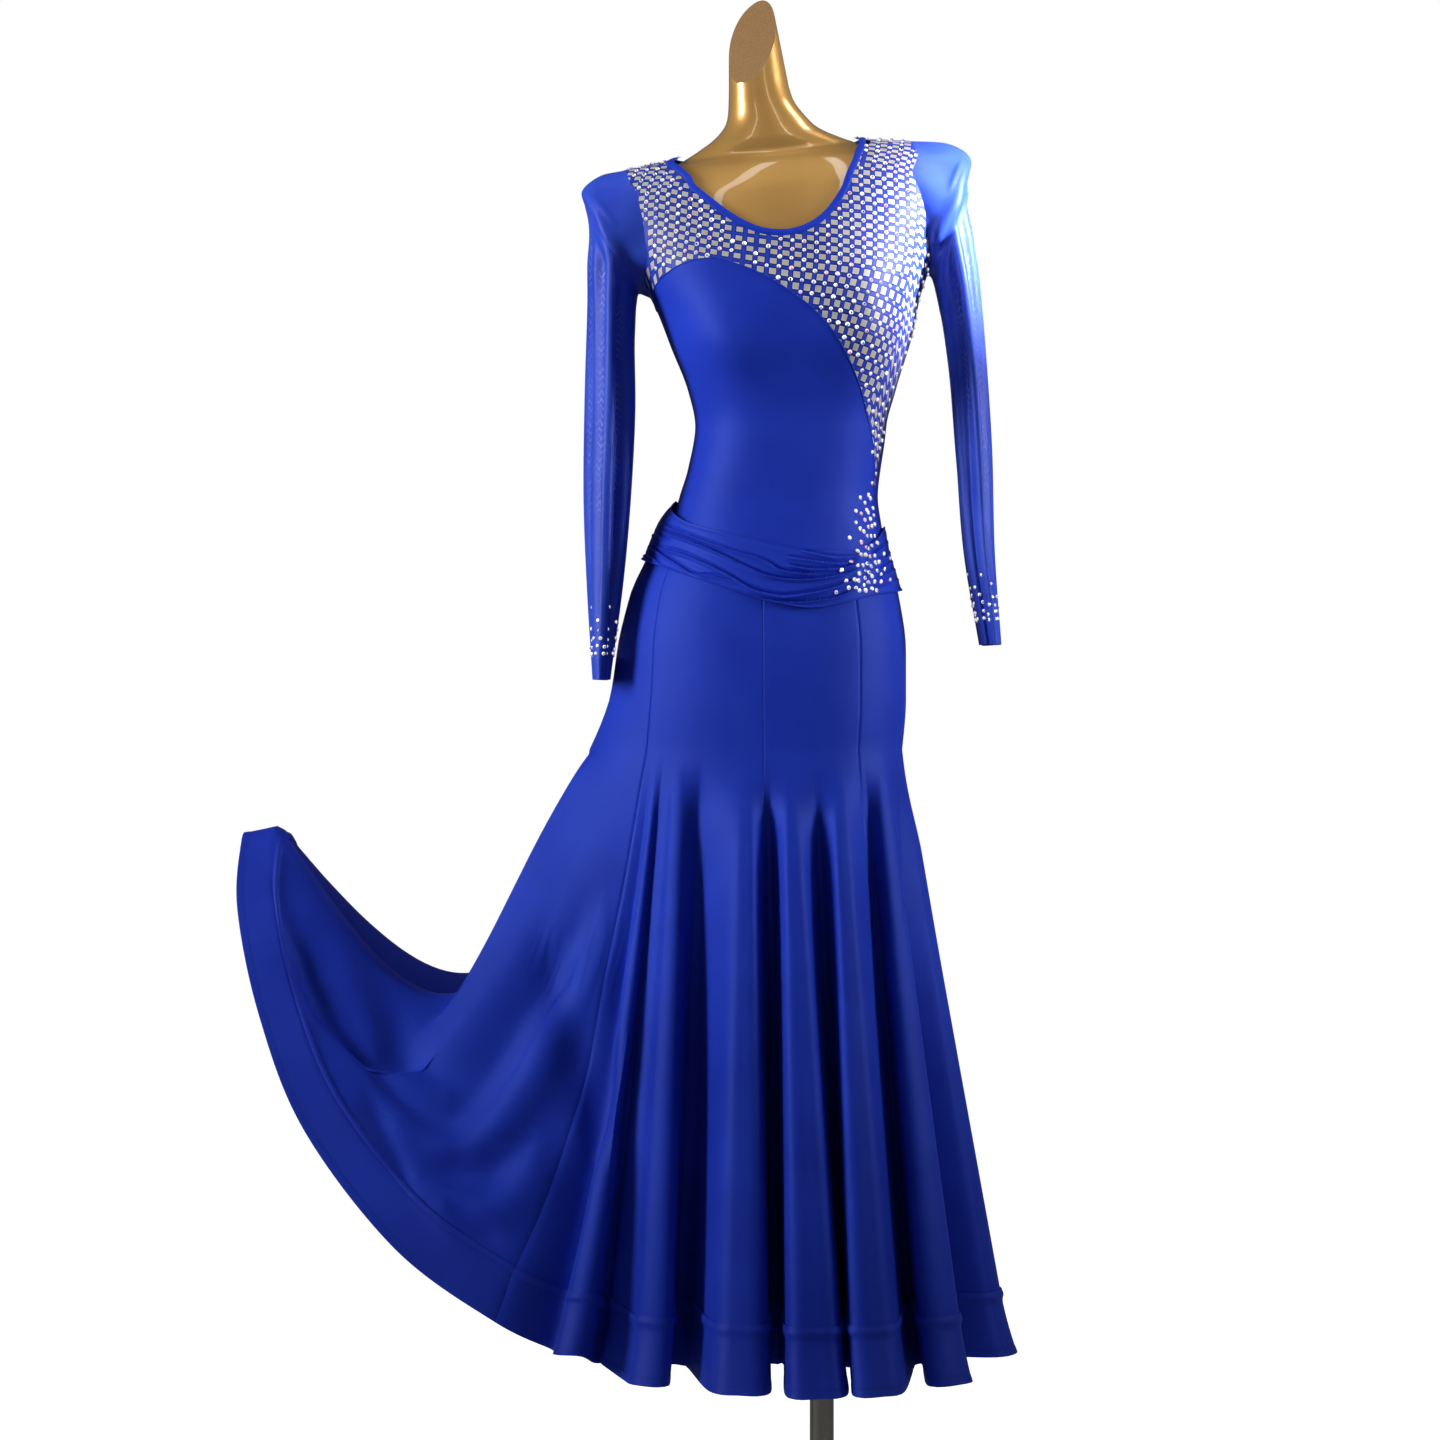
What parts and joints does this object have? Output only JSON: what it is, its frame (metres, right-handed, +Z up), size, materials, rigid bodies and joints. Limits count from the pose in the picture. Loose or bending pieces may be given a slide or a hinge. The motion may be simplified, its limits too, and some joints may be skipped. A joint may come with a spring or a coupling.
{
  "type": "ballroom dance dress on a dress form",
  "caption": "Long-sleeved ballroom dress with a check yoke, draped sash and flared gored skirt held out at one side, on a gold dress form with a pole stand.",
  "frame": {"origin": "centre of the stand base's underside, under the pole's axis", "axes": "+Z up along the pole, the dress's front faces -Y, +X is the viewer's right from the front, so the held-out side of the skirt points to -X"},
  "size_m": [0.866, 0.5835, 1.6911],
  "materials": {
    "blue_cloth": "royal blue stretch satin jersey with a soft sheen",
    "check_cloth": "silver-beige small squares on royal blue, set with crystal studs",
    "sheer_mesh": "royal blue stretch mesh, slightly see-through",
    "binding_cloth": "royal blue satin binding",
    "hem_band_cloth": "royal blue satin jersey over stiff horsehair braid",
    "gold_form": "glossy metallic gold paint on moulded plastic",
    "stand_steel": "satin brushed steel"
  },
  "bodies": {
    "root": {"bodice_front_check": "check_cloth", "bodice_front_plain": "blue_cloth", "bodice_back": "blue_cloth", "neck_binding": "binding_cloth", "sleeve_left": "sheer_mesh", "sleeve_right": "sheer_mesh", "sash_front": "blue_cloth", "sash_back": "blue_cloth", "skirt_gore_1": "blue_cloth", "skirt_gore_2": "blue_cloth", "skirt_gore_3": "blue_cloth", "skirt_gore_4": "blue_cloth", "skirt_gore_5": "blue_cloth", "skirt_gore_6": "blue_cloth", "skirt_gore_7": "blue_cloth", "skirt_gore_8": "blue_cloth", "hem_band_1": "hem_band_cloth", "hem_band_2": "hem_band_cloth", "hem_band_3": "hem_band_cloth", "hem_band_4": "hem_band_cloth", "hem_band_5": "hem_band_cloth", "hem_band_6": "hem_band_cloth", "hem_band_7": "hem_band_cloth", "hem_band_8": "hem_band_cloth", "form_torso": "gold_form", "stand_pole": "stand_steel", "stand_base": "stand_steel"}
  },
  "joints": []
}
